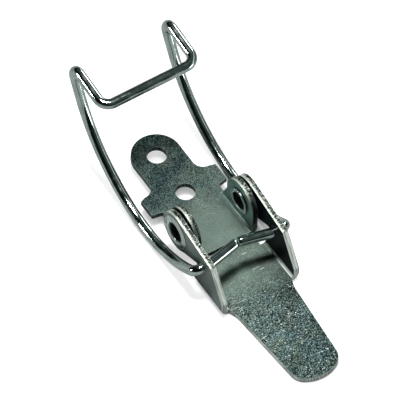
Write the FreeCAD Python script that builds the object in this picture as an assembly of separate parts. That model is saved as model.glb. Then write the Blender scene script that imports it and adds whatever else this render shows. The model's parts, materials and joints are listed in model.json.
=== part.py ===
import FreeCAD, Part
import math
import os

# Toggle latch in zinc-plated sheet steel with a formed wire bail. Millimetres, +Z up.
# The origin is midway between the two screw holes, on the underside of the base plate.
# +Y points from the pivot towards the hooked end of the bail, and X runs along the pivot.
# The lever lies fully open, with its thumb tongue towards -Y.

# ---- driving dimensions ----
SHEET = 1.6                    # thickness of both stampings
SCREW_HOLE_D = 5.3
SCREW_SPACING = 13.7
PIVOT_Y = -20.25               # pivot axis, from the middle of the screw holes
PIVOT_Z = 8.0                  # pivot axis above the underside of the base
RUNNING_CLEARANCE = 0.08       # radial, where one piece turns in another

# base plate
BASE_TONGUE_HALF = 6.75
BASE_TONGUE_FILLET = 3.0
TAB_HALF = 11.4
TAB_FRONT = 16.8               # the next lengths along Y are measured from the pivot
TAB_REAR = 11.5
TAB_SLOPE = 0.5                # how far each tab edge slants over its width
NECK_HALF = 8.6                # half width between the tabs and the ears
EAR_FRONT = 8.2
BASE_REAR = -6.2
EAR_INNER_HALF = 7.8
EAR_RADIUS = 6.1
EAR_FRONT_TOP = (5.95, -1.3)   # where the ear's arc runs into its front edge (Y, Z)
BASE_BEND = 0.8                # inside bend radius

# lever
LEVER_HALF = 11.8
LEVER_BEND = 1.0
WEB_TOP = -9.2                 # heights below are measured from the pivot
NOSE_RADIUS = 5.8
TOP_SLOPE_DEG = 10.0
PEAK_Y = -16.4
FLANGE_REAR = (-22.4, -6.5)    # foot of the slanted rear edge (Y, Z)
FLANGE_HEEL_Y = -22.2
WEB_FRONT = -9.2               # where the flanges leave the web
LIP_FRONT = -6.5               # the web runs on up to the base plate as a narrower lip
LIP_HALF = 8.5
LIP_CORNER = 1.2
PEAK_ROUND = 0.7
HEEL_ROUND = 1.2
NOSE_END_DEG = 248.0           # how far round the pivot the nose runs
RELIEF_FRONT = (-4.2, -4.1)    # the flange's lower edge, from the nose back to the web (Y, Z)
RELIEF_TOP = (-10.2, -1.5)
RELIEF_BACK = (-11.3, -3.5)
RELIEF_ROUND = 0.6
SHOULDER_HALF = 9.7            # where the tongue leaves the channel
NECK_END = (8.6, -25.8)        # end of the concave neck (X, Y)
NECK_MID = (9.0, -23.9)
TONGUE_TAPER_DEG = 4.3         # how far each side of the tongue leans in
TIP_END_Y = -52.2
TIP_END_R = 9.5                # the tip is a shallow arc with a smaller round at each corner
TIP_CORNER_R = 4.4

# hollow pivot rivets
RIVET_RADIUS = 3.1
RIVET_BORE = 2.45
RIVET_HEAD_RADIUS = 4.9
RIVET_HEAD_H = 0.45            # height of the low crown round the mouth of the bore
RIVET_RIM_H = 0.12             # the head thins to this at its rim
RIVET_HEAD_MOUTH = 1.1         # radius of the funnel where the bore opens at the head
RIVET_CLENCH_RADIUS = 3.65
RIVET_CLENCH_H = 0.45
RIVET_CLENCH_MOUTH = 0.45      # radius of the rounded mouth at the clenched end
CLENCH_GAP = 0.1               # play between the clenched end and the ear

# wire bail
WIRE_D = 2.8
BAIL_Y = -12.8                 # axis of the wire holes, from the pivot
BAIL_Z = -0.6
LEG_HALF = 14.1
ELBOW_R = 2.1
LEG_START_DEG = -38.6          # slope of the leg where it leaves the elbow
LEG_ARC_R = 33.0
LEG_ARC_END_DEG = 15.0
LEG_FAR_ARC_R = 39.0
LEG_END_DEG = 61.0             # slope of the straight end of the leg
HOOK_R = 2.6
HOOK_TOP_Z = 20.9
CROSSBAR_Y = 31.4
CROSSBAR_Z = 19.2
CORNER_R = 3.0
WIRE_TIP_Y = 2.0               # how far the meeting wire ends stand forward of the axis
WIRE_TIP_Z = 0.3
WIRE_TIP_GAP = 0.4
WIRE_STRAIGHT = 9.5            # the wire runs along the axis from here out to the elbow
WIRE_INNER_BEND_R = 5.0        # where the wire turns from the axis towards its tip

MARGIN = 5.0                   # overshoot of cutting bodies
HALF_QUARTER = 45.0            # degrees, midway round a right-angle bend
QUARTER_TURN = 90.0
FULL_TURN = 360.0
WEB_BOTTOM = WEB_TOP - SHEET
PLATE_TOP = SHEET - PIVOT_Z
PLATE_BOTTOM = -PIVOT_Z
WIRE_R = WIRE_D / 2
EAR_OUTER_HALF = EAR_INNER_HALF + SHEET
HOLE_NEAR_Y = -PIVOT_Y - SCREW_SPACING / 2
HOLE_FAR_Y = -PIVOT_Y + SCREW_SPACING / 2


def vec(x, y, z):
    return FreeCAD.Vector(x, y, z)


def line(a, b):
    return Part.LineSegment(a, b).toShape()


def arc(a, middle, b):
    return Part.Arc(a, middle, b).toShape()


def polar(radius, degrees):
    angle = math.radians(degrees)
    return radius * math.cos(angle), radius * math.sin(angle)


def face(edges):
    return Part.Face(Part.Wire(Part.__sortEdges__(edges)))


def joined(first, *others):
    return first.fuse(list(others)).removeSplitter()


def mirrored(shape):
    return shape.mirror(vec(0, 0, 0), vec(1, 0, 0))


def x_cylinder(radius, x_from, x_to, y=0.0, z=0.0):
    return Part.makeCylinder(radius, x_to - x_from, vec(x_from, y, z), vec(1, 0, 0))


def side_prism(edges, half_width):
    """A profile drawn in the YZ plane, extruded over both sides of X = 0."""
    solid = face(edges).extrude(vec(2 * half_width, 0, 0))
    solid.translate(vec(-half_width, 0, 0))
    return solid


def channel(half_width, z_bottom, z_top, bend, y_from, y_to):
    """A U section of sheet: a flat web at the bottom and two upright flanges."""
    outer_bend = bend + SHEET
    inner_half = half_width - SHEET
    corner = inner_half - bend
    z_web = z_bottom + SHEET
    z_corner = z_web + bend
    outer_x, outer_z = polar(outer_bend, HALF_QUARTER)
    inner_x, inner_z = polar(bend, HALF_QUARTER)

    def at(x, z):
        return vec(x, y_from, z)

    half = [
        line(at(0, z_bottom), at(corner, z_bottom)),
        arc(at(corner, z_bottom), at(corner + outer_x, z_corner - outer_z), at(half_width, z_corner)),
        line(at(half_width, z_corner), at(half_width, z_top)),
        line(at(half_width, z_top), at(inner_half, z_top)),
        line(at(inner_half, z_top), at(inner_half, z_corner)),
        arc(at(inner_half, z_corner), at(corner + inner_x, z_corner - inner_z), at(corner, z_web)),
        line(at(corner, z_web), at(0, z_web)),
    ]
    edges = half + [mirrored(edge) for edge in half]
    return face(edges).extrude(vec(0, y_to - y_from, 0))


def flat_plate(half_edges, z_bottom):
    """A plan outline given for X >= 0, from the centre line round to the centre line."""
    edges = half_edges + [mirrored(edge) for edge in half_edges]
    plate = face(edges).extrude(vec(0, 0, SHEET))
    plate.translate(vec(0, 0, z_bottom))
    return plate


def base_outline():
    """Half plan of the flat of the base plate: round end, screw tongue, tab and neck."""
    fillet = BASE_TONGUE_FILLET
    side = BASE_TONGUE_HALF
    flat_half = EAR_INNER_HALF - BASE_BEND
    end_x, end_y = polar(side, HALF_QUARTER)
    turn = fillet - polar(fillet, HALF_QUARTER)[0]
    tab_front_root = TAB_FRONT + TAB_SLOPE
    tab_rear_root = TAB_REAR - TAB_SLOPE
    return [
        arc(vec(0, HOLE_FAR_Y + side, 0), vec(end_x, HOLE_FAR_Y + end_y, 0), vec(side, HOLE_FAR_Y, 0)),
        line(vec(side, HOLE_FAR_Y, 0), vec(side, tab_front_root + fillet, 0)),
        arc(
            vec(side, tab_front_root + fillet, 0),
            vec(side + turn, tab_front_root + turn, 0),
            vec(side + fillet, tab_front_root, 0),
        ),
        line(vec(side + fillet, tab_front_root, 0), vec(TAB_HALF, TAB_FRONT, 0)),
        line(vec(TAB_HALF, TAB_FRONT, 0), vec(TAB_HALF, TAB_REAR, 0)),
        line(vec(TAB_HALF, TAB_REAR, 0), vec(NECK_HALF, tab_rear_root, 0)),
        line(vec(NECK_HALF, tab_rear_root, 0), vec(NECK_HALF, EAR_FRONT, 0)),
        line(vec(NECK_HALF, EAR_FRONT, 0), vec(flat_half, EAR_FRONT, 0)),
        line(vec(flat_half, EAR_FRONT, 0), vec(flat_half, BASE_REAR, 0)),
        line(vec(flat_half, BASE_REAR, 0), vec(0, BASE_REAR, 0)),
    ]


def ear_profile():
    """Side view of an ear: upright rear edge, arc about the pivot, slanted front edge."""
    front_y, front_z = EAR_FRONT_TOP
    low = PLATE_BOTTOM - MARGIN
    rear_arc_y = -EAR_RADIUS
    return [
        arc(vec(0, front_y, front_z), vec(0, *polar(EAR_RADIUS, QUARTER_TURN)), vec(0, rear_arc_y, 0)),
        line(vec(0, rear_arc_y, 0), vec(0, BASE_REAR, PLATE_TOP)),
        line(vec(0, BASE_REAR, PLATE_TOP), vec(0, BASE_REAR, low)),
        line(vec(0, BASE_REAR, low), vec(0, EAR_FRONT, low)),
        line(vec(0, EAR_FRONT, low), vec(0, EAR_FRONT, PLATE_TOP)),
        line(vec(0, EAR_FRONT, PLATE_TOP), vec(0, front_y, front_z)),
    ]


def make_base_plate():
    ears = channel(EAR_OUTER_HALF, PLATE_BOTTOM, EAR_RADIUS + MARGIN, BASE_BEND, BASE_REAR, EAR_FRONT)
    ears = ears.common(side_prism(ear_profile(), EAR_OUTER_HALF + MARGIN))
    plate = joined(flat_plate(base_outline(), PLATE_BOTTOM), ears)
    for y in (HOLE_NEAR_Y, HOLE_FAR_Y):
        plate = plate.cut(
            Part.makeCylinder(SCREW_HOLE_D / 2, SHEET + 2 * MARGIN, vec(0, y, PLATE_BOTTOM - MARGIN))
        )
    reach = EAR_OUTER_HALF + MARGIN
    return plate.cut(x_cylinder(RIVET_RADIUS + RUNNING_CLEARANCE, -reach, reach))


def rounded_corner(before, corner, after, radius):
    """The two tangent points and the middle of an arc that rounds a corner."""
    to_before = (before - corner).normalize()
    to_after = (after - corner).normalize()
    half_turn = to_before.getAngle(to_after) / 2
    reach = radius / math.tan(half_turn)
    bisector = (to_before + to_after).normalize()
    centre = corner + bisector * (radius / math.sin(half_turn))
    return corner + to_before * reach, centre - bisector * radius, corner + to_after * reach


def flange_profile():
    """Side view of the lever: round nose, sloping top edge, slanted rear, relief in front of the web."""
    slope = math.radians(TOP_SLOPE_DEG)
    nose_top = vec(0, *polar(NOSE_RADIUS, QUARTER_TURN + TOP_SLOPE_DEG))
    peak = vec(0, PEAK_Y, NOSE_RADIUS / math.cos(slope) + PEAK_Y * math.tan(slope))
    foot = vec(0, *FLANGE_REAR)
    heel = vec(0, FLANGE_HEEL_Y, WEB_BOTTOM - MARGIN)
    front_low = vec(0, WEB_FRONT, WEB_BOTTOM - MARGIN)
    front_web = vec(0, WEB_FRONT, WEB_TOP + LEVER_BEND)
    relief_back = vec(0, *RELIEF_BACK)
    relief_top = vec(0, *RELIEF_TOP)
    relief_front = vec(0, *RELIEF_FRONT)
    nose_low = vec(0, *polar(NOSE_RADIUS, NOSE_END_DEG))
    peak_a, peak_mid, peak_b = rounded_corner(nose_top, peak, foot, PEAK_ROUND)
    foot_a, foot_mid, foot_b = rounded_corner(peak, foot, heel, HEEL_ROUND)
    top_a, top_mid, top_b = rounded_corner(relief_back, relief_top, relief_front, RELIEF_ROUND)
    return [
        arc(nose_low, vec(0, NOSE_RADIUS, 0), nose_top),
        line(nose_top, peak_a),
        arc(peak_a, peak_mid, peak_b),
        line(peak_b, foot_a),
        arc(foot_a, foot_mid, foot_b),
        line(foot_b, heel),
        line(heel, front_low),
        line(front_low, front_web),
        line(front_web, relief_back),
        line(relief_back, top_a),
        arc(top_a, top_mid, top_b),
        line(top_b, relief_front),
        line(relief_front, nose_low),
    ]


def tongue_tip(side_start):
    """The side of the tongue from its neck, then the corner round and the end arc, all tangent."""
    taper = math.radians(TONGUE_TAPER_DEG)
    along = vec(-math.sin(taper), -math.cos(taper), 0)
    inward = vec(-math.cos(taper), math.sin(taper), 0)
    end_centre = vec(0, TIP_END_Y + TIP_END_R, 0)
    offset = side_start + inward * TIP_CORNER_R - end_centre
    lead = offset.dot(along)
    centre_gap = TIP_END_R - TIP_CORNER_R
    length = -lead + math.sqrt(lead**2 - offset.dot(offset) + centre_gap**2)
    corner_centre = side_start + along * length + inward * TIP_CORNER_R
    to_end = (corner_centre - end_centre).normalize()
    corner_mid = corner_centre + (to_end - inward).normalize() * TIP_CORNER_R
    corner_start = side_start + along * length
    corner_end = end_centre + to_end * TIP_END_R
    tip = vec(0, TIP_END_Y, 0)
    end_mid = end_centre + (to_end + vec(0, -1, 0)).normalize() * TIP_END_R
    return [
        line(side_start, corner_start),
        arc(corner_start, corner_mid, corner_end),
        arc(corner_end, end_mid, tip),
    ]


def tongue_outline():
    """Half plan of the web and its thumb tongue: front lip, concave neck, straight taper, round tip."""
    flat_half = LEVER_HALF - SHEET - LEVER_BEND
    neck_end = vec(*NECK_END, 0)
    shoulder = vec(SHOULDER_HALF, FLANGE_HEEL_Y, 0)
    lip_corner = vec(LIP_HALF, LIP_FRONT, 0)
    lip_root = vec(LIP_HALF, WEB_FRONT, 0)
    lip_a, lip_mid, lip_b = rounded_corner(vec(0, LIP_FRONT, 0), lip_corner, lip_root, LIP_CORNER)
    root = [
        line(vec(0, LIP_FRONT, 0), lip_a),
        arc(lip_a, lip_mid, lip_b),
        line(lip_b, lip_root),
        line(lip_root, vec(flat_half, WEB_FRONT, 0)),
        line(vec(flat_half, WEB_FRONT, 0), vec(flat_half, FLANGE_HEEL_Y, 0)),
        line(vec(flat_half, FLANGE_HEEL_Y, 0), shoulder),
        arc(shoulder, vec(*NECK_MID, 0), neck_end),
    ]
    return root + tongue_tip(neck_end)


def make_lever():
    nose_front = NOSE_RADIUS + MARGIN
    rear = FLANGE_REAR[0] - MARGIN
    body = channel(LEVER_HALF, WEB_BOTTOM, NOSE_RADIUS + MARGIN, LEVER_BEND, rear, nose_front)
    body = body.common(side_prism(flange_profile(), LEVER_HALF + MARGIN))
    lever = joined(body, flat_plate(tongue_outline(), WEB_BOTTOM))
    reach = LEVER_HALF + MARGIN
    lever = lever.cut(x_cylinder(RIVET_RADIUS, -reach, reach))
    return lever.cut(x_cylinder(WIRE_R + RUNNING_CLEARANCE, -reach, reach, BAIL_Y, BAIL_Z))


def make_rivet():
    """Hollow rivet on the +X side: a low funnel head outside and a clenched end inside the ear."""
    head_out = LEVER_HALF + RIVET_HEAD_H
    rim_out = LEVER_HALF + RIVET_RIM_H
    clench_face = EAR_INNER_HALF - CLENCH_GAP
    clench_in = clench_face - RIVET_CLENCH_H
    clench_edge = RIVET_CLENCH_H / 2
    clench_flat = RIVET_CLENCH_RADIUS - clench_edge
    head_mouth = RIVET_HEAD_MOUTH
    head_step = head_mouth - polar(head_mouth, HALF_QUARTER)[0]
    end_mouth = RIVET_CLENCH_MOUTH
    end_step = end_mouth - polar(end_mouth, HALF_QUARTER)[0]

    def at(x, r):
        return vec(x, 0, r)

    profile = [
        line(at(clench_in + end_mouth, RIVET_BORE), at(head_out - head_mouth, RIVET_BORE)),
        arc(
            at(head_out - head_mouth, RIVET_BORE),
            at(head_out - head_step, RIVET_BORE + head_step),
            at(head_out, RIVET_BORE + head_mouth),
        ),
        line(at(head_out, RIVET_BORE + head_mouth), at(rim_out, RIVET_HEAD_RADIUS)),
        line(at(rim_out, RIVET_HEAD_RADIUS), at(LEVER_HALF, RIVET_HEAD_RADIUS)),
        line(at(LEVER_HALF, RIVET_HEAD_RADIUS), at(LEVER_HALF, RIVET_RADIUS)),
        line(at(LEVER_HALF, RIVET_RADIUS), at(clench_face, RIVET_RADIUS)),
        line(at(clench_face, RIVET_RADIUS), at(clench_face, clench_flat)),
        arc(
            at(clench_face, clench_flat),
            at(clench_face - clench_edge, RIVET_CLENCH_RADIUS),
            at(clench_in, clench_flat),
        ),
        line(at(clench_in, clench_flat), at(clench_in, RIVET_BORE + end_mouth)),
        arc(
            at(clench_in, RIVET_BORE + end_mouth),
            at(clench_in + end_step, RIVET_BORE + end_step),
            at(clench_in + end_mouth, RIVET_BORE),
        ),
    ]
    return face(profile).revolve(vec(0, 0, 0), vec(1, 0, 0), FULL_TURN)


def leg_point(centre, radius, slope_deg):
    """The point of a bowed leg where its slope in the YZ plane has the given angle."""
    dy, dz = polar(radius, slope_deg - QUARTER_TURN)
    return vec(LEG_HALF, centre.y + dy, centre.z + dz)


def bail_half_path():
    """Centre line of the wire for X >= 0, from the meeting ends to the middle of the crossbar."""
    axis_point = vec(WIRE_STRAIGHT, BAIL_Y, BAIL_Z)
    tip = vec(WIRE_TIP_GAP / 2, BAIL_Y + WIRE_TIP_Y, BAIL_Z + WIRE_TIP_Z)
    elbow_in = vec(LEG_HALF - ELBOW_R, BAIL_Y, BAIL_Z)
    bend_in, bend_mid, bend_out = rounded_corner(tip, axis_point, elbow_in, WIRE_INNER_BEND_R)
    start_y, start_z = polar(1, LEG_START_DEG)
    leg_dir = vec(0, start_y, start_z)
    elbow_out = vec(LEG_HALF, BAIL_Y, BAIL_Z) + leg_dir * ELBOW_R
    elbow_centre = elbow_in + leg_dir * ELBOW_R
    elbow_mid = elbow_centre + (vec(1, 0, 0) - leg_dir).normalize() * ELBOW_R
    near_up = vec(0, *polar(LEG_ARC_R, LEG_START_DEG + QUARTER_TURN))
    near_centre = elbow_out + near_up
    near_end = leg_point(near_centre, LEG_ARC_R, LEG_ARC_END_DEG)
    far_centre = near_end + vec(0, *polar(LEG_FAR_ARC_R, LEG_ARC_END_DEG + QUARTER_TURN))
    far_end = leg_point(far_centre, LEG_FAR_ARC_R, LEG_END_DEG)
    near_mid = leg_point(near_centre, LEG_ARC_R, (LEG_START_DEG + LEG_ARC_END_DEG) / 2)
    far_mid = leg_point(far_centre, LEG_FAR_ARC_R, (LEG_ARC_END_DEG + LEG_END_DEG) / 2)
    rise = HOOK_TOP_Z - far_end.z
    hook = vec(LEG_HALF, far_end.y + rise / math.tan(math.radians(LEG_END_DEG)), HOOK_TOP_Z)
    corner = vec(LEG_HALF, CROSSBAR_Y, CROSSBAR_Z)
    middle = vec(0, CROSSBAR_Y, CROSSBAR_Z)
    hook_a, hook_mid, hook_b = rounded_corner(far_end, hook, corner, HOOK_R)
    corner_a, corner_mid, corner_b = rounded_corner(hook, corner, middle, CORNER_R)
    return [
        line(tip, bend_in),
        arc(bend_in, bend_mid, bend_out),
        line(bend_out, elbow_in),
        arc(elbow_in, elbow_mid, elbow_out),
        arc(elbow_out, near_mid, near_end),
        arc(near_end, far_mid, far_end),
        line(far_end, hook_a),
        arc(hook_a, hook_mid, hook_b),
        line(hook_b, corner_a),
        arc(corner_a, corner_mid, corner_b),
        line(corner_b, middle),
    ]


def make_wire_bail():
    half = bail_half_path()
    start = half[0].Vertexes[0].Point
    direction = half[0].Vertexes[1].Point - start
    section = Part.Wire(Part.makeCircle(WIRE_R, start, direction))
    half_bail = Part.Wire(half).makePipeShell([section], True, True)
    bail = joined(half_bail, mirrored(half_bail))
    length = 2 * sum(edge.Length for edge in half)
    print("wire length %.1f, volume ratio %.4f" % (length, bail.Volume / (math.pi * WIRE_R**2 * length)))
    return bail


def write(name, shape):
    """Move a piece from the pivot's axes to the origin of the latch and write it."""
    placed = shape.copy()
    placed.translate(vec(0, PIVOT_Y, PIVOT_Z))
    solids = placed.Solids
    if len(solids) != 1 or not placed.isValid():
        raise ValueError("%s has %d solids, valid %s" % (name, len(solids), placed.isValid()))
    solids[0].exportStep("parts/" + name + ".step")
    box = solids[0].optimalBoundingBox()
    spans = (box.XMin, box.XMax, box.YMin, box.YMax, box.ZMin, box.ZMax)
    print("%-20s X %.2f %.2f  Y %.2f %.2f  Z %.2f %.2f" % (name, *spans))


def main():
    os.makedirs("parts", exist_ok=True)
    rivet = make_rivet()
    write("base_plate", make_base_plate())
    write("lever", make_lever())
    write("pivot_rivet_right", rivet)
    write("pivot_rivet_left", mirrored(rivet))
    write("wire_bail", make_wire_bail())


main()
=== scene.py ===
import bmesh
import bpy
import json
import math
from mathutils import Matrix, Vector


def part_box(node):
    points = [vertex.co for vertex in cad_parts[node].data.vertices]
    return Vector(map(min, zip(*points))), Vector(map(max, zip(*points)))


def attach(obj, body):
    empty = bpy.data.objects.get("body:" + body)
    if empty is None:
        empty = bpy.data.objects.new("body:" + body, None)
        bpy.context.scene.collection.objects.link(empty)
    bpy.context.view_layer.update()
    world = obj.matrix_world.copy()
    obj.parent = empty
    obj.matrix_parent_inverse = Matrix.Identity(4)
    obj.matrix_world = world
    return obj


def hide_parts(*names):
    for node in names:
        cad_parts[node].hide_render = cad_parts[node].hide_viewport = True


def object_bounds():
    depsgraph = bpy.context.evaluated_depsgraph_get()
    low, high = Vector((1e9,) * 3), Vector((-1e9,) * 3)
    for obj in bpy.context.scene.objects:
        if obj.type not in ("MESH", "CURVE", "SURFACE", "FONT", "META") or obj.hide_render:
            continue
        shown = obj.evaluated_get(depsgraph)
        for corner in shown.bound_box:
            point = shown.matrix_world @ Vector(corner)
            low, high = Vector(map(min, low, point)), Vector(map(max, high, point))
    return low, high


# Zinc-plated toggle latch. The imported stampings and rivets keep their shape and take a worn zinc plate, and
# the stampings' sharp edges are rolled. The wire is redrawn as one smooth bent rod. All of it stands on a
# pale floor under soft studio light.

MM = 0.001

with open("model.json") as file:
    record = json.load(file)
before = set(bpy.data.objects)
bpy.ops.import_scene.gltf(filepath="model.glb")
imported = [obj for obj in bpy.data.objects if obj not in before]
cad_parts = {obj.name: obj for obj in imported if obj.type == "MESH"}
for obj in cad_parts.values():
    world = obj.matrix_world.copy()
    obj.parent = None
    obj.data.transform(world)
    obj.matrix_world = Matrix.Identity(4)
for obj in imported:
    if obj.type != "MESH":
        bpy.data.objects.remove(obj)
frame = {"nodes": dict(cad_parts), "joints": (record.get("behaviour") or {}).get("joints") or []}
cad_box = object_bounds()
joints = {joint["name"]: joint for joint in frame["joints"]}
PIVOT = Vector(joints["lever_pivot"]["pos_m"])
BAIL_AXIS = Vector(joints["bail_pivot"]["pos_m"])

SHEET = 1.6 * MM                # thickness of both stampings
EDGE_ROUND = 0.16 * MM          # rolled and deburred edges of the stampings
EDGE_STEPS = 2
SHARP_ANGLE = math.radians(40)
EAR_OUTER = 9.4 * MM            # from the middle plane to the outer faces of the ears
FLANGE_OUTER = 11.8 * MM        # and to those of the flanges
TONGUE_ROOT_Y = PIVOT.y - 22.2 * MM
BASE_END_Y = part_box("base_plate")[1].y
TONGUE_TIP_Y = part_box("lever")[0].y

# ---- camera: a long lens, high and to the left of the thumb tongue ----
CAMERA_AZIMUTH = math.radians(-34.923)
CAMERA_ELEVATION = math.radians(53.807)
CAMERA_ROLL = math.radians(2.665)
CAMERA_DISTANCE = 4.167
CAMERA_LENS = 1441.9
CAMERA_REACH = 100.0
AIM_RIGHT = -3.03 * MM          # the view's centre, from the pivot, across and up the picture
AIM_UP = 2.634 * MM


def add_camera():
    back = Vector((
        math.sin(CAMERA_AZIMUTH) * math.cos(CAMERA_ELEVATION),
        -math.cos(CAMERA_AZIMUTH) * math.cos(CAMERA_ELEVATION),
        math.sin(CAMERA_ELEVATION),
    ))
    level = Vector((math.cos(CAMERA_AZIMUTH), math.sin(CAMERA_AZIMUTH), 0))
    upright = back.cross(level)
    right = level * math.cos(CAMERA_ROLL) + upright * math.sin(CAMERA_ROLL)
    up = upright * math.cos(CAMERA_ROLL) - level * math.sin(CAMERA_ROLL)
    camera = bpy.data.objects.new("camera", bpy.data.cameras.new("camera"))
    bpy.context.scene.collection.objects.link(camera)
    camera.data.lens = CAMERA_LENS
    camera.data.clip_end = CAMERA_REACH
    aim = PIVOT + right * AIM_RIGHT + up * AIM_UP
    turn = Matrix((right, up, back)).transposed().to_4x4()
    camera.matrix_world = Matrix.Translation(aim + back * CAMERA_DISTANCE) @ turn
    bpy.context.scene.camera = camera


# ---- node helpers ----
class Nodes:
    """A short way to write a node tree. A value may be a number, a colour or another node's output."""

    def __init__(self, tree):
        self.tree = tree

    def put(self, value, socket):
        if isinstance(value, bpy.types.NodeSocket):
            self.tree.links.new(value, socket)
        else:
            socket.default_value = value

    def add(self, kind, inputs=None, **settings):
        node = self.tree.nodes.new(kind)
        for name, value in settings.items():
            setattr(node, name, value)
        for name, value in (inputs or {}).items():
            self.put(value, node.inputs[name])
        return node

    def math(self, operation, a, b=0.0, clamp=False):
        return self.add("ShaderNodeMath", {0: a, 1: b}, operation=operation, use_clamp=clamp).outputs[0]

    def plus(self, a, b):
        return self.math("ADD", a, b)

    def minus(self, a, b):
        return self.math("SUBTRACT", a, b)

    def times(self, a, b):
        return self.math("MULTIPLY", a, b)

    def largest(self, a, b):
        return self.math("MAXIMUM", a, b)

    def size(self, value):
        return self.math("ABSOLUTE", value)

    def above(self, value, limit):
        return self.math("GREATER_THAN", value, limit)

    def below(self, value, limit):
        return self.math("LESS_THAN", value, limit)

    def mix(self, factor, a, b, blend="MIX"):
        """Colour a where the factor is 0 and b where it is 1."""
        inputs = {0: factor, 6: a, 7: b}
        return self.add("ShaderNodeMix", inputs, data_type="RGBA", blend_type=blend).outputs[2]

    def ramp(self, value, start, full):
        """0 at start, 1 at full, and the same beyond each."""
        return self.add("ShaderNodeMapRange", {0: value, 1: start, 2: full}).outputs[0]

    def blend(self, value, at_zero, at_one):
        """A straight ramp from at_zero to at_one as the value goes from 0 to 1."""
        return self.add("ShaderNodeMapRange", {0: value, 3: at_zero, 4: at_one}).outputs[0]

    def noise(self, place, blob, detail=3.0, roughness=0.6):
        """Noise whose blobs are about as wide as blob."""
        inputs = {"Vector": place, "Scale": 1 / blob, "Detail": detail, "Roughness": roughness}
        return self.add("ShaderNodeTexNoise", inputs).outputs[0]

    def stretch(self, place, scale, turn=0.0):
        """The same places, scaled along each axis and turned about Z."""
        inputs = {"Vector": place, "Rotation": (0, 0, turn), "Scale": scale}
        return self.add("ShaderNodeMapping", inputs).outputs[0]

    def relief(self, height, strength, depth):
        inputs = {"Height": height, "Strength": strength, "Distance": depth}
        return self.add("ShaderNodeBump", inputs).outputs[0]

    def coordinates(self, output):
        return self.add("ShaderNodeTexCoord").outputs[output]

    def axis(self, output, letter):
        """One component of the object's own position ("Object", in metres) or of its normal ("Normal")."""
        return self.add("ShaderNodeSeparateXYZ", {0: self.coordinates(output)}).outputs[letter]


def new_material(name):
    material = bpy.data.materials.new(name)
    material.use_nodes = True
    return material, Nodes(material.node_tree), material.node_tree.nodes["Principled BSDF"]


# ---- zinc plate ----
CLOUD_SIZE = 7.0 * MM
TINT_SIZE = 4.0 * MM
FLECK_PATCH_SIZE = 2.2 * MM
WEAR_PATCH_SIZE = 1.2 * MM
CORNER_SHADE_REACH = 5 * MM          # how far away metal still darkens a corner with painted shade
WEAR_REACH = 0.22 * MM          # how far from an edge the plate is worn
CRYSTAL_HEIGHT = 0.04 * MM
NOISE_MIDDLE = 0.5
CLOUD_DETAIL = 2.0
GRAIN_DETAIL = 3.0
GRAIN_ROUGHNESS = 0.65
LEAST_GRAIN = 0.35              # what is left of the grain's tone and of its relief where it has faded
LEAST_RELIEF = 0.25
# How much darker the painted shade makes the plate.
PAINTED_SHADE_DROP = 0.30
FACET_CONTRAST = 0.35
FACET_RELIEF = 0.8
TINT_SHARE = 0.8
TINT_RANGE = (0.35, 0.65)
SMOOTH_SHARE = 0.45
SIDE_CLOUDS = 0.5
FLECK_RANGE = (0.93, 0.99)      # only the few highest crystals shine
FLECK_PATCH_RANGE = (0.38, 0.62)
FLECK_POLISH = 0.1
UPRIGHT_RANGE = (0.80, 0.93)    # how squarely a face looks along X
# How open a corner is where its painted shade starts, and where it is full.
CORNER_SHADE_RANGE = (0.85, 0.35)
WEAR_RANGE = (0.99, 0.88)
WEAR_LEAST = 0.3
ROUGH_SPREAD = 0.12
SPECULAR = 0.1
COOL_TINT = (0.86, 1.0, 1.08, 1)
WARM_TINT = (1.06, 1.0, 0.90, 1)
FLECK_TONE = (0.80, 0.90, 0.86, 1)
# The tone of the painted highlight in the channel's bends.
BEND_HIGHLIGHT_TONE = (0.86, 0.92, 0.88, 1)
WORN_TONE = (0.74, 0.82, 0.78, 1)


def plate_tone(nodes, look, place, coarse, clouds, grain, facet):
    """Cloudy plate with crystal grain, which turns to a smooth even tone where the grain fades. It is darker
    where the look paints shade.
    """
    tone = nodes.plus(nodes.times(nodes.minus(clouds, NOISE_MIDDLE), look["cloud"]), look["level"])
    speck = nodes.times(nodes.minus(grain, NOISE_MIDDLE), look["speckle"])
    tone = nodes.plus(tone, nodes.times(speck, nodes.plus(LEAST_GRAIN, coarse)))
    # Painted shade towards the round end of the base, and the tip and right side of the thumb tongue.
    tone = nodes.minus(tone, nodes.times(look["painted_shade"](nodes), PAINTED_SHADE_DROP))
    facets = nodes.times(nodes.minus(facet, NOISE_MIDDLE), FACET_CONTRAST)
    tone = nodes.plus(tone, nodes.times(facets, coarse))
    colour = nodes.mix(nodes.ramp(tone, 0.0, 1.0), look["dark"], look["light"])
    warmth = nodes.ramp(nodes.noise(place, TINT_SIZE, CLOUD_DETAIL), *TINT_RANGE)
    colour = nodes.mix(TINT_SHARE, colour, nodes.mix(warmth, COOL_TINT, WARM_TINT), "MULTIPLY")
    smooth = nodes.times(nodes.minus(1.0, coarse), SMOOTH_SHARE)
    return nodes.mix(smooth, colour, look["smooth_tone"])


def bright_flecks(nodes, look, place, coarse, crystal):
    """Bright crystals that gather in patches, and scratches."""
    flecks = nodes.times(nodes.ramp(crystal, *FLECK_RANGE), look["sparkle"])
    patches = nodes.ramp(nodes.noise(place, FLECK_PATCH_SIZE, CLOUD_DETAIL), *FLECK_PATCH_RANGE)
    flecks = nodes.times(flecks, patches)
    return nodes.largest(nodes.times(flecks, coarse), scratches(nodes, place, look["scratch"]))


SCRATCH_WIDTH = 0.28 * MM
SCRATCH_STRETCH = (0.05, 1, 1)
SCRATCH_RANGE = (0.70, 0.76)
SCRATCH_PATCH_RANGE = (0.60, 0.66)
SCRATCH_RUNS = ((0.5, 3.1 * MM), (2.3, 4.9 * MM))   # turn about Z in radians, and the size of patches


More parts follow.
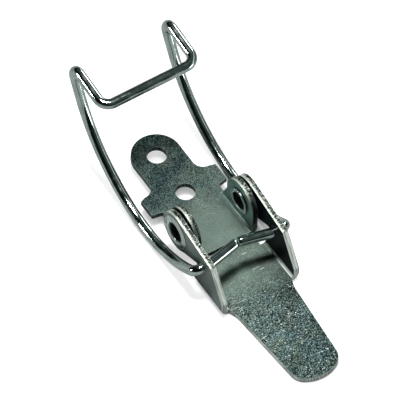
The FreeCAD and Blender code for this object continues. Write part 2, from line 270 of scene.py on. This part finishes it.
def scratches(nodes, place, amount):
    """Short bright scratches that run in two directions."""
    total = 0.0
    for turn, patch_size in SCRATCH_RUNS:
        along = nodes.stretch(place, SCRATCH_STRETCH, turn)
        lines = nodes.ramp(nodes.noise(along, SCRATCH_WIDTH, detail=1.0), *SCRATCH_RANGE)
        patches = nodes.ramp(nodes.noise(place, patch_size, detail=1.0), *SCRATCH_PATCH_RANGE)
        total = nodes.math("ADD", total, nodes.times(lines, patches), clamp=True)
    return nodes.times(total, amount)


def edge_wear(nodes, place):
    """Patchy wear: up to 1 along sharp edges, 0 on the flats."""
    soft = nodes.add("ShaderNodeBevel", {"Radius": WEAR_REACH}, samples=4).outputs[0]
    true = nodes.add("ShaderNodeNewGeometry").outputs["True Normal"]
    likeness = nodes.add("ShaderNodeVectorMath", {0: soft, 1: true}, operation="DOT_PRODUCT").outputs["Value"]
    patches = nodes.blend(nodes.noise(place, WEAR_PATCH_SIZE, CLOUD_DETAIL), WEAR_LEAST, 1.0)
    return nodes.times(nodes.ramp(likeness, *WEAR_RANGE), patches)


def side_masks(nodes):
    """Faces that stand upright and look along X, and faces that look away from the middle plane."""
    across = nodes.axis("Normal", "X")
    upright = nodes.ramp(nodes.size(across), *UPRIGHT_RANGE)
    outward = nodes.above(nodes.times(across, nodes.axis("Object", "X")), 0.0)
    return upright, outward


def painted_side_lighting(nodes, look, outward, clouds):
    """Painted light and shade on the upright sides, one tone inside and one outside, darker in clouds."""
    tone = nodes.mix(outward, look["inner_painted_lighting"], look["outer_painted_lighting"])
    return nodes.mix(nodes.times(clouds, SIDE_CLOUDS), tone, look["dark"])


def painted_corner_shade(nodes):
    """Painted shade: 1 in corners close to other metal, 0 in the open."""
    openness = nodes.add("ShaderNodeAmbientOcclusion", {"Distance": CORNER_SHADE_REACH}, samples=6).outputs["AO"]
    return nodes.ramp(openness, *CORNER_SHADE_RANGE)


def zinc(name, look):
    """Zinc plate on steel: grain and clouds with painted shade towards some ends, then flecks, painted light
    and shade on the sides, painted shade in corners, a painted highlight in the bends, cut faces, painted
    shade in rivet bores, and worn edges.
    """
    material, nodes, shader = new_material(name)
    place = nodes.coordinates("Object")
    coarse = look["coarse"](nodes)
    clouds = nodes.noise(place, CLOUD_SIZE, CLOUD_DETAIL)
    grain = nodes.noise(place, look["grain"], GRAIN_DETAIL, GRAIN_ROUGHNESS)
    cells = nodes.add("ShaderNodeTexVoronoi", {"Vector": place, "Scale": 1 / look["fleck_size"]})
    crystal, facet_height, facet = nodes.add("ShaderNodeSeparateColor", {0: cells.outputs["Color"]}).outputs
    flecks = bright_flecks(nodes, look, place, coarse, crystal)
    upright, outward = side_masks(nodes)
    bend = look["bend"](nodes)
    cut = look["cut"](nodes)
    worn = edge_wear(nodes, place)

    colour = plate_tone(nodes, look, place, coarse, clouds, grain, facet)
    colour = nodes.mix(flecks, colour, FLECK_TONE)
    # Painted light and shade on the upright sides.
    colour = nodes.mix(nodes.times(upright, look["tint"]), colour, painted_side_lighting(nodes, look, outward, clouds))
    # Painted shade in corners close to other metal.
    colour = nodes.mix(painted_corner_shade(nodes), colour, look["dark"])
    # Painted highlight along the inside of the channel's bends.
    colour = nodes.mix(bend, colour, BEND_HIGHLIGHT_TONE)
    # Cut faces; on the rivets this is the bore, painted with shade.
    colour = nodes.mix(cut, colour, look["cut_tone"](nodes, look, place))
    colour = nodes.mix(nodes.times(worn, look["wear"]), colour, WORN_TONE)
    nodes.put(colour, shader.inputs["Base Color"])

    # The inner sides turn diffuse, so the lever's painted near-black inside shows no reflections.
    hollow = nodes.times(nodes.times(upright, nodes.minus(1.0, outward)), look["hollow"])
    bare = nodes.largest(worn, nodes.largest(cut, bend))
    diffuse = nodes.largest(hollow, nodes.times(bare, look["diffuse"]))
    nodes.put(nodes.minus(1.0, diffuse), shader.inputs["Metallic"])
    shader.inputs["Specular IOR Level"].default_value = SPECULAR
    rough = nodes.blend(grain, look["roughness"] - ROUGH_SPREAD, look["roughness"] + ROUGH_SPREAD)
    rough = nodes.math("SUBTRACT", rough, nodes.times(flecks, FLECK_POLISH), clamp=True)
    nodes.put(rough, shader.inputs["Roughness"])
    height = nodes.plus(grain, nodes.times(facet_height, FACET_RELIEF))
    height = nodes.times(height, nodes.plus(LEAST_RELIEF, coarse))
    nodes.put(nodes.relief(height, look["bump"], CRYSTAL_HEIGHT), shader.inputs["Normal"])
    return material


# ---- where each piece's zinc changes, and where light and shade are painted on it: masks from 0 to 1, and the tones of its cut faces ----
TORN_DARK = (0.012, 0.018, 0.016, 1)
TORN_LIGHT = (0.60, 0.66, 0.57, 1)
TEAR_SIZE = 0.26 * MM
TEAR_STRETCH = (0.35, 1.0, 1.0)
TEAR_RANGE = (0.34, 0.54)
DEEP_FROM, DEEP_FULL, DEEP_DARKER = 0.25 * SHEET, 0.5 * SHEET, 0.17
RIM_FROM, RIM_FULL, RIM_BRIGHTER = 0.3 * SHEET, 0.1 * SHEET, 0.12
STREAK_SIZE = 0.45 * MM
STREAK_STRETCH = (1.0, 0.06, 0.06)
STREAK_RANGE = (0.38, 0.58)
REAR_RANGE = (0.45, 0.8)
# The painted shade in a rivet's bore, and how deep the bore's mask reaches.
BORE_SHADE_DARK = (0.006, 0.010, 0.010, 1)
BORE_SHADE_LIGHT = (0.03, 0.04, 0.04, 1)
BORE_RANGE = (-1.2 * MM, -2.2 * MM)
SIDE_LIMIT = 0.4                # a face is a side of the flat sheet where its normal's Z is below this
EDGE_LIMIT = 0.5                # and an edge of an ear or flange where its normal's X is below this
EAR_FOOT_Z = 2.5 * SHEET        # above this height the base has only its ears
BEND_STARTS = (0.2, 0.4)        # how far the sheet has turned up
BEND_ENDS = (0.97, 0.85)
# Where the painted highlight in the bends grows towards the tongue.
BEND_HIGHLIGHT_RANGE_Y = (TONGUE_ROOT_Y + 8 * MM, TONGUE_ROOT_Y + 4 * MM)
# Where the painted shade falls: the base's round end, and the thumb tongue's tip and right side.
PAINTED_SHADE_BASE_Y = (PIVOT.y + 10 * MM, BASE_END_Y)
PAINTED_SHADE_TIP_Y = (TONGUE_ROOT_Y - 14 * MM, TONGUE_TIP_Y)
PAINTED_SHADE_SIDE_X = (2.5 * MM, 8.5 * MM)
PAINTED_SHADE_SIDE_SHARE = 0.9
COARSE_BASE_Y = (PIVOT.y + 2 * MM, PIVOT.y + 14 * MM)
COARSE_TONGUE_Y = (TONGUE_ROOT_Y + 7 * MM, TONGUE_ROOT_Y - 3 * MM)
GRAIN_BETWEEN_EARS = 0.25
GRAIN_IN_CHANNEL = 0.2
GRAIN_ON_RIVET = 0.1


def sheared_edge(nodes, look, place):
    """A blanked edge: a bright rim, then short dark tears. Low down and on faces that look along Y it is
    streaked instead, in tones that paint shade on the base and light on the lever.
    """
    x = nodes.axis("Object", "X")
    outer = look["outer_face"]
    right = nodes.times(nodes.above(x, 0.0), 2 * outer - SHEET)
    depth = nodes.minus(nodes.plus(x, outer), right)
    tears = nodes.noise(nodes.stretch(place, TEAR_STRETCH), TEAR_SIZE, detail=2.0, roughness=0.7)
    tears = nodes.minus(tears, nodes.times(nodes.ramp(depth, DEEP_FROM, DEEP_FULL), DEEP_DARKER))
    tears = nodes.plus(tears, nodes.times(nodes.ramp(depth, RIM_FROM, RIM_FULL), RIM_BRIGHTER))
    torn = nodes.mix(nodes.ramp(tears, *TEAR_RANGE), TORN_DARK, TORN_LIGHT)
    streaks = nodes.noise(nodes.stretch(place, STREAK_STRETCH), STREAK_SIZE, detail=2.0)
    streaks_with_shade = nodes.mix(nodes.ramp(streaks, *STREAK_RANGE), look["streak_shade_dark"], look["streak_shade_light"])
    rear = nodes.ramp(nodes.size(nodes.axis("Normal", "Y")), *REAR_RANGE)
    low = nodes.below(nodes.axis("Object", "Z"), SHEET)
    return nodes.mix(nodes.largest(rear, low), torn, streaks_with_shade)


def painted_bore_shade(nodes, look, place):
    """Painted shade in the bore of a rivet, in dark patches."""
    return nodes.mix(nodes.noise(place, look["bore_patch"], detail=1.0), BORE_SHADE_DARK, BORE_SHADE_LIGHT)


def base_cut(nodes):
    """The sides of the flat plate and the edges of the ears."""
    x = nodes.size(nodes.axis("Normal", "X"))
    z = nodes.size(nodes.axis("Normal", "Z"))
    height = nodes.axis("Object", "Z")
    flat_side = nodes.times(nodes.below(height, SHEET), nodes.below(z, SIDE_LIMIT))
    ear_edge = nodes.times(nodes.above(height, EAR_FOOT_Z), nodes.below(x, EDGE_LIMIT))
    return nodes.math("ADD", flat_side, ear_edge, clamp=True)


def lever_cut(nodes):
    """The edges of the flanges and the sides of the tongue."""
    x = nodes.size(nodes.axis("Normal", "X"))
    z = nodes.size(nodes.axis("Normal", "Z"))
    flange_edge = nodes.times(nodes.above(nodes.axis("Object", "Z"), 0.0), nodes.below(x, EDGE_LIMIT))
    past_channel = nodes.below(nodes.axis("Object", "Y"), TONGUE_ROOT_Y)
    tongue_side = nodes.times(past_channel, nodes.below(z, SIDE_LIMIT))
    return nodes.math("ADD", flange_edge, tongue_side, clamp=True)


def rivet_bore(nodes):
    """The bore of a hollow rivet, where the surface faces the pivot axis. It takes painted shade."""
    parts = []
    for letter, centre in (("Y", PIVOT.y), ("Z", PIVOT.z)):
        out = nodes.minus(nodes.axis("Object", letter), centre)
        parts.append(nodes.times(out, nodes.axis("Normal", letter)))
    return nodes.ramp(nodes.plus(*parts), *BORE_RANGE)


def painted_bend_highlight(nodes):
    """Painted highlight on the inside of the bends between web and flanges, towards the tongue."""
    across = nodes.axis("Normal", "X")
    tilt = nodes.size(across)
    turned = nodes.times(nodes.ramp(tilt, *BEND_STARTS), nodes.ramp(tilt, *BEND_ENDS))
    low = nodes.below(nodes.axis("Object", "Z"), 0.0)
    inside = nodes.below(nodes.times(across, nodes.axis("Object", "X")), 0.0)
    near_tongue = nodes.ramp(nodes.axis("Object", "Y"), *BEND_HIGHLIGHT_RANGE_Y)
    return nodes.times(nodes.times(turned, inside), nodes.times(low, near_tongue))


def nowhere(nodes):
    """No part of the piece."""
    return 0.0


def painted_shade_base(nodes):
    """Painted shade: darker towards the round end of the screw tongue."""
    return nodes.ramp(nodes.axis("Object", "Y"), *PAINTED_SHADE_BASE_Y)


def painted_shade_tongue(nodes):
    """Painted shade: the thumb tongue is darker along its right side and at the tip."""
    tip = nodes.ramp(nodes.axis("Object", "Y"), *PAINTED_SHADE_TIP_Y)
    side = nodes.ramp(nodes.axis("Object", "X"), *PAINTED_SHADE_SIDE_X)
    return nodes.largest(tip, nodes.times(side, PAINTED_SHADE_SIDE_SHARE))


def coarse_base(nodes):
    """The grain is coarse on the screw tongue and fades between the ears."""
    return nodes.blend(nodes.ramp(nodes.axis("Object", "Y"), *COARSE_BASE_Y), GRAIN_BETWEEN_EARS, 1.0)


def coarse_tongue(nodes):
    """The grain is coarse on the thumb tongue and fades towards the pivot."""
    return nodes.blend(nodes.ramp(nodes.axis("Object", "Y"), *COARSE_TONGUE_Y), GRAIN_IN_CHANNEL, 1.0)


def fine_grain(nodes):
    """A rivet's grain is fine all over."""
    return GRAIN_ON_RIVET


# Each look gives one piece's tones, amounts and masks. inner_painted_lighting and outer_painted_lighting are
# painted light and shade on upright sides, which take the share "tint" of them. "hollow" says how diffuse the
# inner sides are, which keeps their painted near-black free of reflections, and "diffuse" how diffuse worn,
# cut and highlighted bent metal is.
BASE_LOOK = {
    "dark": (0.004, 0.011, 0.012, 1), "light": (0.195, 0.265, 0.243, 1), "smooth_tone": (0.31, 0.40, 0.33, 1),
    # The ears' upright sides carry painted light: light teal inside, mid grey outside.
    "inner_painted_lighting": (0.44, 0.68, 0.66, 1), "outer_painted_lighting": (0.45, 0.52, 0.50, 1), "tint": 0.85, "hollow": 0.0,
    # The base's streaked cut faces are painted near-black as shade.
    "streak_shade_dark": (0.015, 0.02, 0.02, 1), "streak_shade_light": (0.10, 0.13, 0.12, 1), "outer_face": EAR_OUTER,
    "level": 0.34, "cloud": 0.9, "speckle": 2.6, "grain": 0.24 * MM, "fleck_size": 0.24 * MM, "sparkle": 0.15,
    "scratch": 0.3, "wear": 0.6, "diffuse": 0.5, "roughness": 0.40, "bump": 0.5,
    "coarse": coarse_base, "painted_shade": painted_shade_base, "bend": nowhere, "cut": base_cut, "cut_tone": sheared_edge,
}
LEVER_LOOK = BASE_LOOK | {
    # The flanges' upright sides carry painted shade: near-black and diffuse inside, mid grey outside.
    "inner_painted_lighting": (0.004, 0.008, 0.010, 1), "outer_painted_lighting": (0.36, 0.42, 0.40, 1), "tint": 1.0, "hollow": 0.97,
    # The lever's streaked cut faces are painted light grey as light.
    "streak_shade_dark": (0.32, 0.36, 0.33, 1), "streak_shade_light": (0.78, 0.84, 0.78, 1), "outer_face": FLANGE_OUTER,
    "level": 0.24, "cloud": 1.1, "speckle": 6.4, "grain": 0.26 * MM, "fleck_size": 0.25 * MM, "sparkle": 1.0,
    "scratch": 0.9, "bump": 0.9,
    "coarse": coarse_tongue, "painted_shade": painted_shade_tongue, "bend": painted_bend_highlight, "cut": lever_cut,
}
RIVET_LOOK = BASE_LOOK | {
    "light": (0.70, 0.78, 0.75, 1), "smooth_tone": (0.80, 0.86, 0.84, 1), "tint": 0.0, "bore_patch": 1.0 * MM,
    "level": 0.7, "speckle": 0.8, "sparkle": 0.0, "scratch": 0.0, "wear": 0.2, "roughness": 0.24, "bump": 0.1,
    # A rivet's bore takes the place of its cut faces and is painted with shade.
    "coarse": fine_grain, "painted_shade": nowhere, "cut": rivet_bore, "cut_tone": painted_bore_shade,
}


def finish_node(node, material):
    """The CAD node stays and takes a better material."""
    piece = frame["nodes"][node]
    piece.material_slots[0].material = material
    return piece


def roll_edges(piece):
    """Roll a piece's sharp edges with a small bevel."""
    bevel = piece.modifiers.new("rolled_edges", "BEVEL")
    bevel.width = EDGE_ROUND
    bevel.segments = EDGE_STEPS
    bevel.limit_method = "ANGLE"
    bevel.angle_limit = SHARP_ANGLE
    bevel.harden_normals = True


# ---- the wire, redrawn as one smooth rod ----
WIRE_R = 1.4 * MM
WIRE_CHAMFER = 0.25 * MM
LEG_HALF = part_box("wire_bail")[1].x - WIRE_R
ELBOW_R = 2.1 * MM
LEG_START = math.radians(-38.6)
NEAR_ARC_R = 33.0 * MM
NEAR_ARC_END = math.radians(15.0)
FAR_ARC_R = 39.0 * MM
LEG_END = math.radians(61.0)
HOOK_R = 2.6 * MM
HOOK_TOP = 20.9 * MM            # this and the crossbar's Y and Z are measured from the pivot
CROSSBAR_Y = 31.4 * MM
CROSSBAR_Z = 19.2 * MM
CORNER_R = 3.0 * MM
STRAIGHT_HALF = 9.5 * MM
INNER_BEND_R = 5.0 * MM
TIP = Vector((0.2, 2.0, 0.3)) * MM   # the wire's cut end, from the middle of the bail's axis
STEPS_PER_BEND = 14
STEPS_NEAR_ARC = 60
STEPS_FAR_ARC = 40
STEPS_ROUND = 40
LONGEST_STEP = 1.2 * MM


def slope(angle):
    """The direction in the leg's plane that rises at an angle."""
    return Vector((0, math.cos(angle), math.sin(angle)))


def rounded(before, corner, after, radius):
    """Points of the arc that rounds a corner."""
    to_before = (before - corner).normalized()
    to_after = (after - corner).normalized()
    half = to_before.angle(to_after) / 2
    centre = corner + (to_before + to_after).normalized() * (radius / math.sin(half))
    start = corner + to_before * (radius / math.tan(half)) - centre
    end = corner + to_after * (radius / math.tan(half)) - centre
    return [centre + start.slerp(end, i / STEPS_PER_BEND) * radius for i in range(STEPS_PER_BEND + 1)]


def swept(start, radius, angle_from, angle_to, steps):
    """Points of an upward arc in the leg's plane, from one slope to another."""
    centre = start + slope(angle_from + math.pi / 2) * radius
    angles = [angle_from + (angle_to - angle_from) * i / steps for i in range(steps + 1)]
    return [centre - slope(angle + math.pi / 2) * radius for angle in angles]


def half_route():
    """The wire's centre line for X >= 0, from its cut end to the middle of the crossbar."""
    tip = BAIL_AXIS + TIP
    inner = BAIL_AXIS + Vector((STRAIGHT_HALF, 0, 0))
    elbow = BAIL_AXIS + Vector((LEG_HALF, 0, 0))
    leg_start = elbow + slope(LEG_START) * ELBOW_R
    near = swept(leg_start, NEAR_ARC_R, LEG_START, NEAR_ARC_END, STEPS_NEAR_ARC)
    far = swept(near[-1], FAR_ARC_R, NEAR_ARC_END, LEG_END, STEPS_FAR_ARC)
    top_z = PIVOT.z + HOOK_TOP
    hook = far[-1] + slope(LEG_END) * ((top_z - far[-1].z) / math.sin(LEG_END))
    corner = Vector((LEG_HALF, PIVOT.y + CROSSBAR_Y, PIVOT.z + CROSSBAR_Z))
    middle = Vector((0, corner.y, corner.z))
    route = [tip] + rounded(tip, inner, elbow, INNER_BEND_R)
    route += rounded(inner, elbow, elbow + slope(LEG_START), ELBOW_R) + near[1:] + far[1:]
    route += rounded(far[-1], hook, corner, HOOK_R) + rounded(hook, corner, middle, CORNER_R)
    return route + [middle]


def spread(points, longest):
    """The same line with its long runs divided, so that every face of the rod is short."""
    out = [points[0]]
    for a, b in zip(points, points[1:]):
        pieces = max(1, math.ceil((b - a).length / longest))
        out += [a.lerp(b, i / pieces) for i in range(1, pieces + 1)]
    return out


def whole_route():
    """The whole centre line, from one cut end to the other."""
    half = spread(half_route(), LONGEST_STEP)
    mirrored = [Vector((-p.x, p.y, p.z)) for p in half]
    return half + mirrored[-2::-1]


def ring_places(route):
    """The centre, direction and radius of each ring of the rod, with a chamfer at both cut ends."""
    runs = [(b - a).normalized() for a, b in zip(route, route[1:])]
    directions = [runs[0]] + [(a + b).normalized() for a, b in zip(runs, runs[1:])] + [runs[-1]]
    places = [(point, direction, WIRE_R) for point, direction in zip(route, directions)]
    first, last = places[0], places[-1]
    places[0] = (first[0] + first[1] * WIRE_CHAMFER, first[1], WIRE_R)
    places[-1] = (last[0] - last[1] * WIRE_CHAMFER, last[1], WIRE_R)
    start = (first[0], first[1], WIRE_R - WIRE_CHAMFER)
    end = (last[0], last[1], WIRE_R - WIRE_CHAMFER)
    return [start] + places + [end]


def add_rings(mesh, places):
    """Rings of vertices that don't twist along the rod, and how far along it each ring is."""
    turns = [2 * math.pi * i / STEPS_ROUND for i in range(STEPS_ROUND)]
    side = Vector((0, 0, 1)).cross(places[0][1]).normalized()
    last = places[0][0]
    rings, lengths, total = [], [], 0.0
    for point, direction, radius in places:
        side = (side - direction * side.dot(direction)).normalized()
        other = direction.cross(side)
        spokes = [side * math.cos(turn) + other * math.sin(turn) for turn in turns]
        rings.append([mesh.verts.new(point + spoke * radius) for spoke in spokes])
        total += (point - last).length
        lengths.append(total)
        last = point
    return rings, lengths


def add_skin(mesh, uv, rings, lengths):
    """Smooth faces between the rings, with length in mm and part of a turn as UV, and a cap at each end."""
    for k in range(len(rings) - 1):
        for i in range(STEPS_ROUND):
            n = (i + 1) % STEPS_ROUND
            face = mesh.faces.new((rings[k][i], rings[k + 1][i], rings[k + 1][n], rings[k][n]))
            face.smooth = True
            corners = ((k, i), (k + 1, i), (k + 1, i + 1), (k, i + 1))
            for loop, (row, column) in zip(face.loops, corners):
                loop[uv].uv = (lengths[row] / MM, column / STEPS_ROUND)
    mesh.faces.new(rings[0])
    mesh.faces.new(reversed(rings[-1]))
    bmesh.ops.recalc_face_normals(mesh, faces=mesh.faces)


def add_wire(material):
    """The whole bail as one rod, which rides on the bail and replaces its CAD node."""
    mesh = bmesh.new()
    uv = mesh.loops.layers.uv.new("along_and_round")
    rings, lengths = add_rings(mesh, ring_places(whole_route()))
    add_skin(mesh, uv, rings, lengths)
    data = bpy.data.meshes.new("bail_rod")
    mesh.to_mesh(data)
    mesh.free()
    rod = bpy.data.objects.new("bail_rod", data)
    bpy.context.scene.collection.objects.link(rod)
    data.materials.append(material)
    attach(rod, "bail")
    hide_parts("wire_bail")


WIRE_DARK = (0.26, 0.33, 0.31, 1)
WIRE_LIGHT = (0.80, 0.88, 0.85, 1)
WIRE_CLOUD_SIZE = 3.0 * MM
WIRE_TONE_RANGE = (0.45, 0.95)
WIRE_PATCH_RANGE = (0.35, 0.7)
WIRE_SMOOTHEST, WIRE_ROUGHEST = 0.07, 0.19
DIE_LINES = (0.12, 46.0, 1.0)   # changes along each mm of the wire, and round its whole girth
DIE_SHARE = 0.9
CLOUD_SHARE = 0.5
DIE_LINE_STRENGTH = 0.35
DIE_LINE_DEPTH = 0.03 * MM


def drawn_wire():
    """Bright plated wire: fine die lines along it, over cloudy zinc that is rougher in patches."""
    material, nodes, shader = new_material("drawn_wire")
    lines = nodes.stretch(nodes.coordinates("UV"), DIE_LINES)
    die = nodes.add("ShaderNodeTexNoise", {"Vector": lines, "Scale": 1.0, "Detail": 3.0}).outputs[0]
    clouds = nodes.noise(nodes.coordinates("Object"), WIRE_CLOUD_SIZE, 3.0)
    tone = nodes.plus(nodes.times(die, DIE_SHARE), nodes.times(clouds, CLOUD_SHARE))
    colour = nodes.mix(nodes.ramp(tone, *WIRE_TONE_RANGE), WIRE_DARK, WIRE_LIGHT)
    nodes.put(colour, shader.inputs["Base Color"])
    rough = nodes.blend(nodes.ramp(clouds, *WIRE_PATCH_RANGE), WIRE_SMOOTHEST, WIRE_ROUGHEST)
    nodes.put(rough, shader.inputs["Roughness"])
    nodes.put(nodes.relief(die, DIE_LINE_STRENGTH, DIE_LINE_DEPTH), shader.inputs["Normal"])
    shader.inputs["Metallic"].default_value = 1.0
    return material


# ---- studio ----
FLOOR_SIZE = 4.0
PAPER_TONE = (0.55, 0.55, 0.55, 1)
PAPER_IN_METAL = (0.34, 0.36, 0.35, 1)
PAPER_ROUGHNESS = 0.9
PAPER_GLOW = 0.75
GLOW_RANGE = (0.15, 0.50)
CONTACT_REACH = 6 * MM          # how close metal has to be to paint contact shadow on the glow
FOOT_X = 12.7 * MM              # the painted shadow patch on the paper at the foot of the right flange, and how wide it is
FOOT_Y = PIVOT.y - 4.2 * MM
FOOT_INNER = 3.0 * MM
FOOT_OUTER = 4.6 * MM
FOOT_SHADE = 0.45


def paper_glow(nodes):
    """Full on open paper, less close to metal as painted contact shadow, and least in one painted shadow
    patch at the foot of the right flange.
    """
    openness = nodes.add("ShaderNodeAmbientOcclusion", {"Distance": CONTACT_REACH}, samples=8).outputs["AO"]
    ends = {0: nodes.coordinates("Object"), 1: (FOOT_X, FOOT_Y, 0.0)}
    away = nodes.add("ShaderNodeVectorMath", ends, operation="DISTANCE").outputs["Value"]
    shade = nodes.times(nodes.ramp(away, FOOT_OUTER, FOOT_INNER), FOOT_SHADE)
    return nodes.times(nodes.ramp(nodes.minus(openness, shade), *GLOW_RANGE), PAPER_GLOW)


def add_floor():
    """Pale paper at the latch's lowest level. It glows to keep shadows soft, with painted shadow close to the
    metal, and shows a dimmer grey in reflections that stands in for paper in shade.
    """
    bpy.ops.mesh.primitive_plane_add(size=FLOOR_SIZE, location=(0, 0, cad_box[0].z))
    floor = bpy.context.object
    floor.name = "floor"
    paper, nodes, shader = new_material("floor_paper")
    shader.inputs["Base Color"].default_value = PAPER_TONE
    shader.inputs["Roughness"].default_value = PAPER_ROUGHNESS
    shader.inputs["Emission Color"].default_value = (1, 1, 1, 1)
    nodes.put(paper_glow(nodes), shader.inputs["Emission Strength"])
    dim = nodes.add("ShaderNodeBsdfDiffuse", {"Color": PAPER_IN_METAL}).outputs[0]
    seen = nodes.add("ShaderNodeLightPath").outputs["Is Camera Ray"]
    both = nodes.add("ShaderNodeMixShader", {0: seen, 1: dim, 2: shader.outputs[0]}).outputs[0]
    nodes.put(both, paper.node_tree.nodes["Material Output"].inputs["Surface"])
    floor.data.materials.append(paper)


# Softboxes: name, direction from the pivot, distance and width in metres, power in watts.
SOFTBOXES = (
    ("overhead_softbox", (0.0, 0.12, 1.0), 0.4, 0.10, 1.78),
    ("right_softbox", (0.85, 0.50, 0.52), 0.6, 0.14, 0.45),
    ("left_strip", (-0.80, 0.48, 0.32), 0.6, 0.10, 1.0),
    ("rear_right_fill", (0.62, -0.78, 0.05), 0.7, 0.30, 1.2),
)


def add_light(name, toward, distance, width, power):
    """A round softbox that faces the pivot from a given direction."""
    lamp = bpy.data.lights.new(name, "AREA")
    lamp.shape = "DISK"
    lamp.size = width
    lamp.energy = power
    light = bpy.data.objects.new(name, lamp)
    direction = Vector(toward).normalized()
    light.location = PIVOT + direction * distance
    light.rotation_euler = (-direction).to_track_quat("-Z", "Y").to_euler()
    bpy.context.scene.collection.objects.link(light)


LEFT_WALL = (0.003, 0.005, 0.005, 1)
RIGHT_WALL = (0.010, 0.015, 0.014, 1)
CEILING = (0.055, 0.075, 0.072, 1)
HORIZON = (0.55, 0.62, 0.60, 1)
TALL_STRIP = (1.5, 1.6, 1.56, 1)
LEFT_TO_RIGHT = (-0.35, 0.15)   # these ranges are parts of a direction: X across the room, Z upwards
WALL_TO_CEILING = (0.35, 0.6)
HORIZON_TO_WALL = (0.04, 0.12)
STRIP_LEFT_SIDE = (0.69, 0.73)
STRIP_RIGHT_SIDE = (0.82, 0.78)
STRIP_FOOT = (0.0, 0.05)


def add_world():
    """A dim room: black at the left, dark above, pale round the horizon, a tall bright strip at the right."""
    world = bpy.data.worlds.new("studio")
    bpy.context.scene.world = world
    world.use_nodes = True
    nodes = Nodes(world.node_tree)
    toward = nodes.add("ShaderNodeSeparateXYZ", {0: nodes.coordinates("Generated")}).outputs
    x, z = toward["X"], toward["Z"]
    right = nodes.mix(nodes.ramp(z, *WALL_TO_CEILING), RIGHT_WALL, CEILING)
    walls = nodes.mix(nodes.ramp(x, *LEFT_TO_RIGHT), LEFT_WALL, right)
    room = nodes.mix(nodes.ramp(z, *HORIZON_TO_WALL), HORIZON, walls)
    strip = nodes.times(nodes.ramp(x, *STRIP_LEFT_SIDE), nodes.ramp(x, *STRIP_RIGHT_SIDE))
    strip = nodes.times(strip, nodes.ramp(z, *STRIP_FOOT))
    background = world.node_tree.nodes["Background"]
    nodes.put(nodes.mix(strip, room, TALL_STRIP), background.inputs["Color"])
    background.inputs["Strength"].default_value = 1.0


add_camera()
add_floor()
add_world()
for softbox in SOFTBOXES:
    add_light(*softbox)
bpy.context.scene.view_settings.view_transform = "Standard"
roll_edges(finish_node("base_plate", zinc("zinc_base_sheet", BASE_LOOK)))
roll_edges(finish_node("lever", zinc("zinc_lever_sheet", LEVER_LOOK)))
rivet_zinc = zinc("zinc_rivet", RIVET_LOOK)
for rivet in ("pivot_rivet_left", "pivot_rivet_right"):
    finish_node(rivet, rivet_zinc)
add_wire(drawn_wire())
